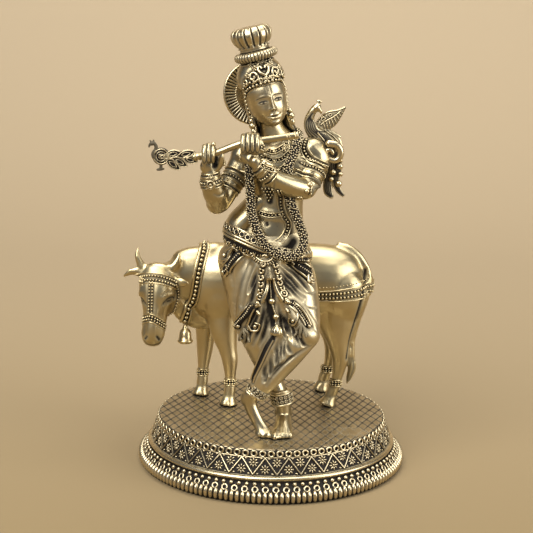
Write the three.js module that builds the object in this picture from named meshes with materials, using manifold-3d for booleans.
// A cast brass figure of Krishna playing the flute in front of a cow, on a round stepped plinth.
// Millimetres, +Z up. The origin is the centre of the plinth's flat underside, and the front faces -Y.
// Three castings, brazed together at the feet and hooves: the plinth, the cow and the figure.
import * as THREE from "three";
import { mergeVertices } from "three/addons/utils/BufferGeometryUtils.js";
import Module from "manifold-3d";

const wasm = await Module();
wasm.setup();

// Driving sizes. The cow and the figure are free forms: their sections are hundredths of these two lengths.
const PLINTH_DIAMETER = 101.6;
const PLINTH_HEIGHT = 18;
const PLINTH_TOP_INSET = 8.5;
const RIBBED_FOOT_HEIGHT = 4.8;
const RIB_PITCH = 2.05;
const RIB_DEPTH = 0.7;
const LEDGE_HEIGHT = 9.2;
const FIGURE_HEIGHT = 147.1;
const FIGURE_FORWARD = 20;
const FIGURE_ASIDE = 4;
const COW_LENGTH = 92;
const COW_TO_FIGURE_GAP = 1.2;
const FLUTE_DIAMETER = 2.7;

// Half the cow's width and the figure's depth behind its ankle, in hundredths of their lengths
const COW_HALF_WIDTH = 18.2;
const FIGURE_BACK = 12.6;

// Edges of a free form shorter than this, in hundredths of its length, are closed up
const SHORTEST_EDGE = 0.42;

// Colours of the antiqued brass
const BRASS = { color: 0xb59a5f, roughness: 0.28, metalness: 1 };
const DARK_BRASS = { color: 0x9c8452, roughness: 0.4, metalness: 1 };

// A closed three.js geometry as a solid for joining and cutting
function solid(geometry) {
  const bare = geometry.clone();
  bare.deleteAttribute("normal");
  bare.deleteAttribute("uv");
  const merged = mergeVertices(bare, 1e-4);
  const vertProperties = new Float32Array(merged.attributes.position.array);
  const triVerts = new Uint32Array(merged.index.array);
  return new wasm.Manifold(new wasm.Mesh({ numProp: 3, vertProperties, triVerts }));
}

function joined(solids) {
  return solids.reduce((all, one) => all.add(one));
}

// A finished solid as a named mesh
function piece(name, made, look) {
  const { vertProperties, triVerts } = made.getMesh();
  const geometry = new THREE.BufferGeometry();
  geometry.setAttribute("position", new THREE.BufferAttribute(vertProperties, 3));
  geometry.setIndex(new THREE.BufferAttribute(triVerts, 1));
  geometry.computeVertexNormals();
  const mesh = new THREE.Mesh(geometry, new THREE.MeshStandardMaterial(look));
  mesh.name = name;
  return mesh;
}

// A closed tube through oval sections, each [x, y, z, half width, half depth], its width along `across`.
// `folds` draws every second corner in by that share, `loop` closes the tube, and `blunt` rounds its ends.
function tube(sections, options = {}) {
  const { sides = 6, between = 1, across = [1, 0, 0], folds = 0, loop = false, blunt = 0.6 } = options;
  const centres = new THREE.CatmullRomCurve3(sections.map(([x, y, z]) => new THREE.Vector3(x, y, z)), loop);
  const sizes = new THREE.CatmullRomCurve3(
    sections.map(([, , , wide, deep = wide]) => new THREE.Vector3(wide, deep, 0)),
    loop,
  );
  const toWidth = new THREE.Vector3(...across);
  const steps = (loop ? sections.length : sections.length - 1) * between;
  const places = Array.from({ length: loop ? steps : steps + 1 }, (_, i) => [i / steps, 1, 0]);
  if (!loop && blunt > 0.5) {
    places.unshift([0, 0.7, -0.62 * blunt]);
    places.push([1, 0.7, 0.62 * blunt]);
  }

  const points = [];
  for (const [share, scale, forward] of places) {
    const along = centres.getTangent(share);
    const wide = toWidth.clone().addScaledVector(along, -toWidth.dot(along)).normalize();
    const deep = new THREE.Vector3().crossVectors(along, wide);
    const size = sizes.getPoint(share);
    const centre = centres.getPoint(share).addScaledVector(along, forward * Math.min(size.x, size.y));
    for (let k = 0; k < sides; k++) {
      const turn = (2 * Math.PI * k) / sides;
      const reach = scale * (k % 2 ? 1 - folds : 1);
      const point = centre.clone().addScaledVector(wide, size.x * reach * Math.cos(turn));
      points.push(point.addScaledVector(deep, size.y * reach * Math.sin(turn)));
    }
  }

  const faces = [];
  const bands = loop ? places.length : places.length - 1;
  for (let i = 0; i < bands; i++) {
    const next = (i + 1) % places.length;
    for (let k = 0; k < sides; k++) {
      const beside = (k + 1) % sides;
      faces.push(i * sides + k, i * sides + beside, next * sides + beside);
      faces.push(i * sides + k, next * sides + beside, next * sides + k);
    }
  }
  if (!loop) {
    for (const [share, outward, ring] of [[0, -blunt, 0], [1, blunt, places.length - 1]]) {
      const size = sizes.getPoint(share);
      const reach = outward * Math.min(size.x, size.y);
      points.push(centres.getPoint(share).addScaledVector(centres.getTangent(share), reach));
      for (let k = 0; k < sides; k++) {
        const pair = [ring * sides + k, ring * sides + ((k + 1) % sides)];
        faces.push(points.length - 1, ...(share ? pair : pair.reverse()));
      }
    }
  }
  const geometry = new THREE.BufferGeometry().setFromPoints(points);
  geometry.setIndex(faces);
  return solid(geometry);
}

// An egg-shaped solid with three half sizes, turned about X, Y and Z in degrees
function ball([x, y, z], [a, b, c], turns = [0, 0, 0], [around, down] = [6, 4]) {
  const geometry = new THREE.SphereGeometry(1, around, down);
  geometry.rotateX(Math.PI / 2);
  geometry.scale(a, b, c);
  const radians = turns.map((degrees) => THREE.MathUtils.degToRad(degrees));
  geometry.applyMatrix4(new THREE.Matrix4().makeRotationFromEuler(new THREE.Euler(...radians)));
  geometry.translate(x, y, z);
  return solid(geometry);
}

// A turned solid from [radius, height] pairs up its axis, with shallow lobes round it where asked
function turned(profile, segments, lobes = 0, depth = 0) {
  const outline = profile.map(([radius, height]) => new THREE.Vector2(radius, height));
  const geometry = new THREE.LatheGeometry(outline, segments);
  const at = geometry.attributes.position;
  for (let i = 0; lobes && i < at.count; i++) {
    const radius = Math.hypot(at.getX(i), at.getZ(i));
    const turn = Math.atan2(at.getZ(i), at.getX(i));
    const inward = depth * (1 - Math.abs(Math.cos((lobes * turn) / 2)));
    const share = radius > depth ? 1 - inward / radius : 1;
    at.setX(i, at.getX(i) * share);
    at.setZ(i, at.getZ(i) * share);
  }
  geometry.rotateX(Math.PI / 2);
  return solid(geometry);
}

// Plinth: a ribbed foot, a ledge under a raised line, a leaning band and a flat top
function plinth() {
  const foot = PLINTH_DIAMETER / 2;
  const top = foot - PLINTH_TOP_INSET;
  const ledge = foot - 0.54 * PLINTH_TOP_INSET;
  const ribs = Math.round((Math.PI * PLINTH_DIAMETER) / RIB_PITCH);
  const ribbed = turned(
    [[0, 0], [foot, 0], [foot - 1.4, RIBBED_FOOT_HEIGHT], [0, RIBBED_FOOT_HEIGHT]],
    2 * ribs, ribs, RIB_DEPTH);
  const stepped = turned(
    [
      [0, RIBBED_FOOT_HEIGHT - 0.3],
      [foot - 2.6, RIBBED_FOOT_HEIGHT - 0.3],
      [ledge + 0.7, LEDGE_HEIGHT - 1.6],
      [ledge + 0.7, LEDGE_HEIGHT - 0.6],
      [ledge - 0.6, LEDGE_HEIGHT],
      [top + 1.1, PLINTH_HEIGHT - 2.6],
      [top + 1.2, PLINTH_HEIGHT - 0.9],
      [top, PLINTH_HEIGHT],
      [0, PLINTH_HEIGHT],
    ],
    48);
  return ribbed.add(stepped);
}

// Cow, in hundredths of its length, from the point on the plinth's top under the middle of its trunk
function cow() {
  const trunk = tube(
    [
      [-33, -1, 51.5, 8, 14], [-25, -1, 50.5, 11, 17], [-14, 0, 50, 12.8, 18.4], [0, 0, 50.5, 13, 17],
      [14, 0, 51.5, 13.2, 16.6], [26, 0, 51.5, 12.6, 15.6], [34, 0, 51, 8.6, 12], [38.5, 0, 51, 4.5, 6],
    ],
    { across: [0, 1, 0], sides: 10 });
  const neck = tube(
    [[-21, -1, 53, 8.6, 12], [-33, -2, 54, 8, 12.4], [-41, -5, 53, 6.4, 10.4], [-45.6, -8, 54, 5.4, 6.6]],
    { across: [0, 1, 0], sides: 8 });
  const chest = tube(
    [[-38.6, -6, 42, 2.4, 4], [-32.6, -3, 35.6, 3, 4.4], [-25, -1, 37, 4, 4.4]], { across: [0, 1, 0] });
  const head = tube(
    [
      [-47.6, -10, 57, 6.4, 4.4], [-48, -12, 52.8, 8, 6.2], [-48, -13.8, 47, 7.2, 6.8],
      [-48.6, -15.4, 40.6, 5, 5.2], [-49.2, -16.6, 35.4, 3.6, 3.8], [-49.4, -17.2, 31.6, 3.2, 3.2],
    ],
    { sides: 8 });
  const jaw = ball([-44, -9.5, 46], [5, 5.4, 6.6], [10, 12, 0], [7, 5]);
  const horns = [
    [[-51, -9.6, 57.5, 1.7], [-54, -9.4, 61.5, 1.5], [-54.8, -9.4, 66.5, 1.1], [-53.6, -9.4, 70.5, 0.4]],
    [[-41.6, -8.6, 57.6, 1.8], [-38.6, -8.4, 60, 1.6], [-36.4, -8.4, 63.4, 1.2], [-36.6, -8.6, 67, 0.4]],
  ].map((route) => tube(route, { sides: 5, blunt: 0.2 }));
  const ears = [
    [[-52, -10.6, 54.6, 0.9, 1.6], [-57, -10.4, 56.2, 1, 2.3], [-62.4, -10.4, 55, 0.4, 0.7]],
    [[-41, -9.4, 54, 0.9, 1.7], [-36.2, -8.6, 55.4, 1, 2.3], [-31, -8, 54.6, 0.4, 0.7]],
  ].map((route) => tube(route, { sides: 5, blunt: 0.2, across: [0, 1, 0] }));
  const legs = [
    [
      [-21, -5, 42, 8.4, 6], [-20.4, -7, 32, 6, 5], [-18.6, -8.4, 23.6, 3.7, 3.6],
      [-17.6, -9.4, 11, 2.3, 2.4],
      [-17.6, -9.6, 6.6, 2.5, 2.6], [-18.2, -10.2, 0.6, 3.5, 3.8],
    ],
    [
      [-27, 6, 42, 7.5, 6], [-28.4, 6, 30, 4.8, 4.6], [-29, 5.4, 19, 3.2, 3.4], [-29.6, 4.2, 10, 2.3, 2.5],
      [-29.8, 3.8, 6.4, 2.5, 2.6], [-30.4, 3, 0.6, 3.3, 3.6],
    ],
    [
      [27, -4, 50, 10.6, 8], [27, -6, 37, 8.8, 6.4], [27.8, -7.4, 27, 4.9, 4.6], [28.2, -7.8, 20, 3.6, 3.6],
      [27.2, -8, 11, 2.3, 2.8], [25.6, -8, 6.6, 2.5, 2.7], [23.6, -8.4, 0.6, 3.4, 3.7],
    ],
    [
      [26, 6, 48, 9, 7], [25, 8, 34, 7, 6], [26.5, 10, 23, 4.4, 4.2], [24.4, 11.6, 11, 2.5, 2.8],
      [23, 12.2, 6.4, 2.5, 2.7], [21.6, 12.2, 0.6, 3.3, 3.6],
    ],
  ].map((route) => tube(route, { blunt: 0.3 }));
  const tail = tube(
    [
      [29, 0, 67.2, 1.7], [36, -1, 62, 1.7], [39.6, -2, 55, 1.6], [38.6, -3, 45, 1.3], [35, -4.6, 34, 1.2],
      [33.4, -5.4, 25, 1.5], [33.4, -5.4, 16, 2], [32, -5, 9, 0.8],
    ],
    { sides: 5, blunt: 0.3 });
  const collar = tube(
    [
      [-28.5, -0.7, 69], [-30.4, -11.4, 61], [-32.4, -12.4, 50.3], [-34.5, -10, 42], [-38, -5, 34.4],
      [-34.5, 5, 40],
      [-32.4, 10, 50], [-30.4, 9.4, 61],
    ].map((at) => [...at, 1, 0.9]),
    { sides: 5, loop: true });
  const bell = tube(
    [[-37, -5.2, 35, 1.2], [-36.4, -7, 31.6, 2.3], [-36.4, -7.6, 26.4, 2.9]], { blunt: 0.2 });
  const cloth = tube(
    [
      [4, -12.6, 50.6, 2.2, 1], [14, -12.8, 49.8, 2.2, 1], [24, -12.4, 49.8, 2.2, 1],
      [32, -10, 50.4, 2.2, 1],
      [38, -5, 51, 2, 0.8],
    ],
    { sides: 5, blunt: 0.2, across: [0, 0, 1] });
  return joined([trunk, neck, chest, head, jaw, ...horns, ...ears, ...legs, tail, collar, bell, cloth]);
}

// Figure, in hundredths of its height, from the point on the plinth's top under its standing ankle.
// Trunk and the two legs in their cloth, which is carved in folds that run down from the belt.
function bodyAndLegs() {
  const trunk = tube(
    [
      [-4.7, 4.3, 39, 10.2, 6.6], [-4.2, 4.4, 47.6, 9.9, 6.4], [-2.7, 4.4, 53.4, 7.2, 5.2],
      [-2.5, 4.4, 59, 7, 5.3],
      [-2.5, 4.4, 65, 8.6, 5.8], [-2.2, 4.8, 69.6, 8.6, 4.8], [-2.8, 4.8, 72.2, 4.6, 3.6],
      [-3.9, 4.2, 75.4, 2.9, 3],
    ],
    { sides: 10, blunt: 0.3 });
  const standing = tube(
    [
      [-10, 4.8, 41, 5.4, 6.2], [-9.2, 4.1, 32.6, 4.8, 5.8], [-8.3, 3.4, 26.7, 4.1, 4.9],
      [-6.5, 2.7, 21, 3.2, 4.1],
      [-4.1, 2, 15.8, 2.8, 3.4], [-0.9, 0.6, 9.6, 2.1, 2.7], [0.3, 0.6, 2, 1.9, 2.4],
    ],
    { sides: 8, blunt: 0.3 });
  const crossed = tube(
    [
      [1.4, 4.1, 42, 5.6, 6.4], [2.9, 0.9, 34, 5.4, 6], [4.3, -2.4, 28.6, 4.6, 5],
      [4.8, -4.2, 25.4, 3.5, 3.9],
    ],
    { sides: 18, folds: 0.17 });
  const shin = tube(
    [
      [5.2, -4.2, 26.2, 3.8, 3.8], [0.2, -4.5, 20.3, 3.8, 3.6], [-3.4, -4.2, 15, 3, 3],
      [-6.4, -3.7, 11, 2.2, 2.3],
    ],
    { sides: 12, folds: 0.2, blunt: 0.4 });
  const apron = tube(
    [
      [-4, 0.6, 46, 4.4, 3.6], [-4.2, -0.4, 36, 7.6, 4.8], [-4.4, -1, 26, 7.6, 4.4],
      [-4.4, -0.6, 18.6, 3.6, 2.6],
    ],
    { sides: 22, folds: 0.16, blunt: 0.3 });
  return [trunk, standing, crossed, shin, apron];
}

// The standing foot flat and the crossed one on its toes, with their anklets
function feet() {
  const flat = tube(
    [
      [0.3, 3.4, 1.8, 1.5, 2.2], [0.2, 1.2, 3.2, 2.3, 3.9], [0.2, -2, 2, 2.35, 3], [0, -5.4, 1, 2.5, 2.2],
      [-0.4, -8.8, 0.4, 2.3, 1.2],
    ],
    { sides: 8, blunt: 0.3 });
  const tiptoe = tube(
    [
      [-8.4, -3.4, 10.4, 1.8, 1.9], [-7.8, -3.6, 7.2, 1.8, 1.7], [-6.2, -4.5, 3.6, 1.6, 1.4],
      [-4.6, -6, 1.2, 1.7, 1.3],
      [-3, -7.6, 0.5, 1.7, 1],
    ],
    { blunt: 0.4 });
  const heel = ball([-9.1, -2.8, 8.3], [1.6, 1.9, 2.2], [0, -20, 0]);
  const anklets = [
    tube([[-0.2, 0.2, 8.9, 2.9, 3.1], [0.2, 0, 5.4, 3, 3.2]], { sides: 8, blunt: 0.1 }),
    tube([[-4.6, -4, 13.2, 2.9, 3.1], [-7, -3.8, 10, 2.2, 2.5]], { sides: 8, blunt: 0.1 }),
  ];
  return [flat, tiptoe, heel, ...anklets];
}

// A curled end: a strip that winds in on itself, to the right for side 1 and to the left for side -1
function curl([x, y, z], size, side) {
  const [winding, tightening, thickness] = [1.6 * Math.PI, 0.6, 0.75];
  const route = [0, 0.25, 0.5, 0.75, 1].map((share) => {
    const turn = winding * share;
    const reach = size * (1 - tightening * share);
    return [x + side * reach * Math.cos(turn), y, z - reach * Math.sin(turn), thickness];
  });
  return tube(route, { sides: 4, blunt: 0.2 });
}

// Belt, the sash ends that curl out at both hips, and the strings that hang from its knot
function belt() {
  const ring = tube(
    [
      [-13.8, 4.2, 50, 1.6, 1], [-11, -0.4, 48.6, 1.6, 1], [-4.4, -2.2, 45.8, 1.7, 1],
      [3, -0.8, 44, 1.6, 1],
      [5.6, 4.4, 43.8, 1.6, 1], [2.6, 9.6, 45, 1.6, 1], [-4.4, 11, 47, 1.6, 1], [-11, 9, 49.4, 1.6, 1],
    ],
    { sides: 4, loop: true, across: [0, 0, 1] });
  const sashes = [
    [[-5, -4, 44.8, 1, 1.2], [-10.4, -2.4, 44.6, 1.1, 1.6], [-14.6, -0.2, 45, 0.8, 1]],
    [[-6, -4, 43.6, 1, 1.2], [-11, -2.4, 42, 1.1, 1.6], [-15, -0.4, 41, 0.8, 1]],
    [[-10.6, -1.6, 49.6, 1, 1.2], [-12.6, -1.4, 47.6, 1, 1.2], [-15, 0.6, 46.4, 0.8, 1]],
    [[-2, -4.6, 45, 1, 1.2], [2.8, -3.8, 43.4, 1.1, 1.5], [6.6, -2, 41, 0.8, 1]],
  ].map((route) => tube(route, { sides: 5, blunt: 0.2 }));
  const strings = [
    [
      [-6.2, -4.6, 43.6, 0.9], [-6.4, -5.6, 38, 1.1], [-7.2, -6, 33.4, 1.3], [-9.6, -5.4, 29.4, 1.1],
      [-12.4, -3.4, 26.6, 0.7],
    ],
    [
      [-2, -4.8, 42.8, 0.9], [-1.6, -5.8, 37.6, 1.1], [0.4, -6.6, 33.4, 1.3], [2.8, -7.2, 31, 1.1],
      [4.8, -7.4, 29, 0.7],
    ],
  ].map((route) => tube(route, { sides: 5, blunt: 0.2 }));
  const curls = [
    curl([-14.2, 0.2, 45], 1.9, -1), curl([-13.8, 0, 41], 1.9, -1), curl([5.8, -2, 41], 1.8, 1),
    curl([-7.8, -5.2, 28.4], 1.7, -1), curl([1.8, -6.8, 29.8], 1.7, 1),
  ];
  const beads = [
    ball([-3.2, -4.8, 34], [1.1, 1.2, 1.5]), ball([-2.4, -4.8, 30.4], [1.1, 1.2, 1.4]),
    ball([-2.2, -4.7, 26.8], [1.9, 1.7, 2]),
  ];
  return [ring, ...sashes, ...strings, ...curls, ...beads];
}

// Four fingers side by side, closed round the flute
function fingers([x, y, z]) {
  const [pitch, knuckle, gap] = [1.02, [2.6, 1.5], [2.1, 1.1]];
  const route = Array.from({ length: 9 }, (_, i) => {
    return [x + pitch * (i / 2 - 2), y, z, ...(i % 2 ? knuckle : gap)];
  });
  return tube(route, { blunt: 0.1, across: [0, 0, 1] });
}

// Both arms with their armlets, bracelets and the hands that hold the flute
function arms() {
  const limbs = [
    [
      [-9.4, 6.4, 68.4, 3.4, 3.6], [-11.4, 5.4, 66, 3.2, 3.4], [-13.6, 3.6, 61.8, 2.8, 2.9],
      [-16, 0.6, 57.4, 2.7, 2.7],
    ],
    [
      [-16.2, 0.2, 57.4, 2.8], [-17.6, -1.6, 60.6, 2.9, 2.8], [-18.4, -2.6, 63.4, 2.5, 2.4],
      [-18.6, -2.8, 65.4, 1.9],
    ],
    [[5, 5, 70.6, 3.6, 3.8], [7, 4.6, 69, 3.8, 3.7], [6.2, 3, 66, 3.2, 3.2], [4.4, 0, 61.6, 2.9, 2.9]],
  ].map((route) => tube(route, { sides: 8, blunt: 0.5 }));
  const leftForearm = tube(
    [[4.2, -0.4, 61.4, 2.8], [-1.3, -3.1, 63.3, 2.6], [-5, -4.7, 65.6, 2.4], [-7.4, -5.4, 68, 1.7]],
    { sides: 8, blunt: 0.4, across: [0, 1, 0] });
  const armlets = [
    [[-12.8, 4.2, 63.2, 3.3, 3.4], [-14.4, 2.6, 60, 3.2, 3.2]],
    [[6.2, 2.6, 65.6, 3.6, 3.6], [5, 0.9, 62.8, 3.3, 3.4]],
  ].map((route) => tube(route, { sides: 8, blunt: 0.1 }));
  const jewel = ball([5, -2, 60.8], [1.5, 1.4, 1.7]);
  const palms = [
    [[-18.5, -2.9, 65, 1.8, 1.4], [-18.4, -2.6, 67.6, 2.5, 1.3], [-18.6, -2.8, 69.8, 2.2, 1.1]],
    [[-7.8, -5.2, 68.2, 1.6, 1.4], [-8.8, -4.4, 71, 2.4, 1.2], [-9.2, -4, 73.2, 2.2, 1]],
  ].map((route) => tube(route, { blunt: 0.3 }));
  const hands = [...palms, fingers([-9, -5.4, 72.4]), fingers([-18.4, -4.4, 70])];
  return [...limbs, leftForearm, ...armlets, jewel, ...hands];
}

// Flute, bent a little at each hand, with a flat bird and its leafy tail at the end
function flute() {
  const bore = (100 * FLUTE_DIAMETER) / 2 / FIGURE_HEIGHT;
  const rod = tube(
    [
      [2.3, -3, 74.6, bore], [-8, -4.8, 73.2, bore], [-12, -4.8, 72.3, bore], [-17.2, -4.4, 70.2, bore],
      [-22.4, -4.4, 69.1, bore],
    ],
    { sides: 8, across: [0, 1, 0], blunt: 0.3 });
  const leaf = (x, z, long, high, turn) => ball([x, -4.3, z], [long, 0.6, high], [0, turn, 0]);
  const bird = [
    ball([-29.2, -4.4, 69.5], [1.8, 0.8, 1.8], [0, 0, 0], [8, 4]),
    tube([[-30, -4.4, 69.8, 0.7], [-31.8, -4.4, 70.8, 0.6], [-32.2, -4.4, 72.2, 0.6]], { sides: 4 }),
    tube([[-29.2, -4.4, 68.6, 0.6], [-29, -4.4, 66.6, 0.4]], { sides: 4, blunt: 0.2 }),
  ];
  const tail = [leaf(-24.4, 69.9, 2.8, 1, -8), leaf(-26.8, 70, 2.4, 1.1, 0), leaf(-25.6, 68, 3, 1, -20)];
  return [rod, ...tail, ...bird];
}

// Halo behind the head: a thin disc with radial flutes round a plain hub
function halo() {
  const [hub, rim, thick, depth, flutes] = [4.8, 7.8, 1, 0.4, 24];
  const around = 2 * flutes;
  const ring = (radius, front) => Array.from({ length: around }, (_, k) => {
    const turn = (2 * Math.PI * k) / around;
    const back = front ? (k % 2) * depth : thick;
    return new THREE.Vector3(radius * Math.cos(turn), back, radius * Math.sin(turn));
  });
  const middles = [new THREE.Vector3(0, -0.2, 0), new THREE.Vector3(0, thick, 0)];
  const points = [...ring(hub, true), ...ring(rim, true), ...ring(rim, false), ...middles];
  const faces = [];
  for (let k = 0; k < around; k++) {
    const next = (k + 1) % around;
    faces.push(3 * around, k, next, 3 * around + 1, 2 * around + next, 2 * around + k);
    for (const inner of [0, around]) {
      faces.push(inner + k, inner + around + k, inner + around + next);
      faces.push(inner + k, inner + around + next, inner + next);
    }
  }
  const geometry = new THREE.BufferGeometry().setFromPoints(points);
  geometry.setIndex(faces);
  return solid(geometry);
}

// Head, halo and crown in a frame of their own, with the face along -Y and the crown's axis up
function head() {
  const face = [
    ball([0, 0.2, -1.2], [4.7, 4.9, 5.6], [0, 0, 0], [10, 7]), ball([0, -2.2, -5.1], [2.1, 1.8, 1.7]),
    ball([0, -0.6, 2.6], [4.7, 4.7, 4], [0, 0, 0], [8, 5]), ball([0, -3.8, -3.9], [1.3, 0.8, 0.5]),
    ball([0, -4.7, -1.6], [0.65, 0.9, 1.5], [-14, 0, 0]),
  ];
  const pairs = [-1, 1].flatMap((side) => [
    ball([2 * side, -4.1, -0.3], [1.1, 0.6, 0.5]), ball([4.9 * side, 0.8, -3], [0.9, 1.4, 2.2]),
    ball([5.1 * side, 0.5, -5.8], [1, 1, 1.7]),
  ]);
  const cap = turned(
    [[0, -2.6], [5.2, -2.6], [6.1, 1.6], [6, 4.4], [5.2, 7.4], [3.2, 10], [3.2, 12.4], [0, 12.4]], 12);
  const roll = turned([[0, 9.6], [4.4, 9.6], [5.3, 10.6], [4.4, 11.7], [0, 11.7]], 36, 18, 0.35);
  const bud = turned([[0, 11.8], [3.7, 11.8], [4.9, 14], [4.9, 16], [3.8, 17.4], [0, 17.3]], 26, 13, 0.8);
  const crest = [
    ball([-2.2, -4.2, 6], [1.4, 0.9, 1.4]), ball([2.2, -4.2, 6], [1.4, 0.9, 1.4]),
    ball([0, -3.7, 8.4], [1.5, 1, 1.7]),
  ];
  const [bandRadius, bandRise] = [5.9, 3];
  const brow = tube(
    [-60, -30, 0, 30, 60].map((degrees) => {
      const turn = THREE.MathUtils.degToRad(degrees);
      const front = Math.cos(turn);
      return [bandRadius * Math.sin(turn), 0.3 - bandRadius * front, 1.4 + bandRise * front, 0.7, 0.9];
    }),
    { sides: 4, blunt: 0.2, across: [0, 0, 1] });
  const crown = [cap.translate([0, 1.1, 0]), roll, bud, ...crest, brow];
  return [...face, ...pairs, ...crown, halo().translate([-1, 5.8, 1.4])];
}

// Long flower garland from the shoulders to below the belt, thick and thin by turns
function garland() {
  const route = [
    [-2.6, 9, 74.6], [2.2, 6.4, 74], [2.2, 0.8, 71.8], [0.2, -2, 66.4], [0.2, -2.2, 60.6], [2.4, -2, 54.6],
    [4.3, -2, 49.4], [3, -3.6, 46], [-1.2, -4.6, 45.6], [-5.4, -4.1, 48.6], [-8.2, -2.4, 54.6],
    [-8.1, -1.7, 61],
    [-8.9, -0.4, 67], [-8.6, 4.4, 72.2],
  ];
  const sections = route.map((at, i) => [...at, i % 2 ? 1.6 : 1.4]);
  return tube(sections, { sides: 5, loop: true, across: [0, 1, 0] });
}

// Two necklaces on the chest, and the long hair down the back, carved in locks
function chest() {
  const laces = [[2.6, 3.6], [5.8, 5]].map(([drop, wide]) => tube(
    [-1, -0.6, 0, 0.6, 1].map((side) => {
      const low = 1 - Math.abs(side);
      return [-2.6 + wide * side, 1.4 - 3.2 * low, 71.6 - drop * low, 0.6];
    }),
    { sides: 4, blunt: 0.2, across: [0, 1, 0] }));
  const hair = tube(
    [[-5.2, 7.4, 80, 4.4, 2], [-4.4, 7.8, 71, 5.4, 2.2], [-3.6, 7.4, 60, 3.2, 1.4]],
    { sides: 12, folds: 0.2, blunt: 0.3 });
  return [...laces, hair];
}

// Peacock on the left shoulder, with one raised wing and plumes that hang behind the arm
function peacock() {
  const bird = tube(
    [
      [7.4, 5.2, 81.2, 0.6], [6.4, 5.3, 80.2, 0.85], [5.4, 5.4, 78, 0.9], [6.3, 5.4, 75.3, 2.1],
      [9.4, 6.1, 73.4, 1.8],
      [12.2, 6.8, 71, 1.3], [11.8, 6.2, 68.2, 1.1],
    ],
    { sides: 7, across: [0, 1, 0], blunt: 0.4 });
  const wing = [
    ball([10.8, 6.8, 77.6], [4.1, 0.9, 1.9], [0, -38, 0], [8, 5]),
    ...[0, 1, 2].map((k) => {
      const quill = [[8.8 + k, 6.1, 76.2 - 0.4 * k, 0.5], [13.6 - 0.4 * k, 6.1, 80 - 1.5 * k, 0.45]];
      return tube(quill, { sides: 4, blunt: 0.2 });
    }),
  ];
  const crest = tube([[7, 5.2, 80.8, 0.4], [7.7, 5.2, 82.8, 0.5]], { sides: 4, blunt: 0.2 });
  const plumes = [
    [[8.6, 5.4, 72, 1.2], [11, 6, 68.6, 1.6], [11.3, 5.8, 64, 1.4], [10.6, 5.6, 58.6, 1.5]],
    [[11.6, 5.8, 69, 1.1], [12.8, 5.6, 65, 1.1], [12.7, 5.4, 61, 1], [13.6, 5.4, 58.8, 0.9]],
  ].map((route) => tube(route, { blunt: 0.3 }));
  return [bird, ...wing, crest, ...plumes];
}

function figure() {
  const [tilt, turn] = [-14.2, 20].map((degrees) => THREE.MathUtils.degToRad(degrees));
  const headPlace = new THREE.Matrix4()
    .makeTranslation(-5.1, 3.8, 82.5)
    .multiply(new THREE.Matrix4().makeRotationY(tilt))
    .multiply(new THREE.Matrix4().makeRotationZ(turn));
  const worn = joined(head()).transform(headPlace.elements);
  const lower = [...bodyAndLegs(), ...feet(), ...belt()];
  const upper = [...arms(), ...flute(), worn, garland(), ...chest(), ...peacock()];
  return joined([...lower, ...upper]);
}

// Closes up edges that are too short to see, where the skin stays closed and no face turns over by it
function withoutSlivers(form) {
  const { vertProperties, triVerts } = form.getMesh();
  const at = Array.from({ length: vertProperties.length / 3 }, (_, i) =>
    new THREE.Vector3().fromArray(vertProperties, 3 * i));
  const count = triVerts.length / 3;
  let faces = Array.from({ length: count }, (_, i) => Array.from(triVerts.slice(3 * i, 3 * i + 3)));
  const normal = (face, moved = [], place = null) => {
    const [a, b, c] = face.map((v) => (moved.includes(v) ? place : at[v]));
    return new THREE.Vector3().crossVectors(b.clone().sub(a), c.clone().sub(a));
  };
  for (let pass = 0; pass < 8; pass++) {
    const around = at.map(() => []);
    faces.forEach((face) => face.forEach((v) => around[v].push(face)));
    const busy = new Set();
    for (const [a, b] of faces.flatMap(([u, v, w]) => [[u, v], [v, w], [w, u]])) {
      if (a > b || busy.has(a) || busy.has(b) || at[a].distanceTo(at[b]) > SHORTEST_EDGE) continue;
      const ringA = new Set(around[a].flat());
      const ringB = new Set(around[b].flat());
      const shared = [...ringA].filter((v) => ringB.has(v));
      const place = at[a].clone().lerp(at[b], 0.5);
      const moving = [...around[a], ...around[b]].filter((face) => !(face.includes(a) && face.includes(b)));
      const turned = moving.some((face) => normal(face).dot(normal(face, [a, b], place)) <= 0);
      if (shared.length !== 4 || turned || [...ringA, ...ringB].some((v) => busy.has(v))) continue;
      [...ringA, ...ringB].forEach((v) => busy.add(v));
      around[b].forEach((face) => face.splice(face.indexOf(b), 1, a));
      at[a].copy(place);
    }
    faces = faces.filter(([u, v, w]) => u !== v && v !== w && w !== u);
  }
  const geometry = new THREE.BufferGeometry().setFromPoints(at);
  geometry.setIndex(faces.flat());
  return solid(geometry);
}

// Sets a free form down on the plinth's top: scales it up and cuts the soles flat
function standing(form, length, x, y) {
  const scale = length / 100;
  const placed = withoutSlivers(form).scale([scale, scale, scale]).translate([x, y, PLINTH_HEIGHT]);
  const below = new THREE.BoxGeometry(6 * length, 6 * length, PLINTH_HEIGHT);
  below.translate(0, 0, PLINTH_HEIGHT / 2);
  return placed.subtract(solid(below));
}

// The cow's middle stands this far behind the figure's ankle
const COW_BEHIND = (FIGURE_BACK * FIGURE_HEIGHT + COW_HALF_WIDTH * COW_LENGTH) / 100 + COW_TO_FIGURE_GAP;

const statue = new THREE.Group();
statue.add(
  piece("plinth", plinth(), DARK_BRASS),
  piece("cow", standing(cow(), COW_LENGTH, 0, COW_BEHIND - FIGURE_FORWARD), BRASS),
  piece("krishna", standing(figure(), FIGURE_HEIGHT, FIGURE_ASIDE, -FIGURE_FORWARD), BRASS),
);

export default statue;
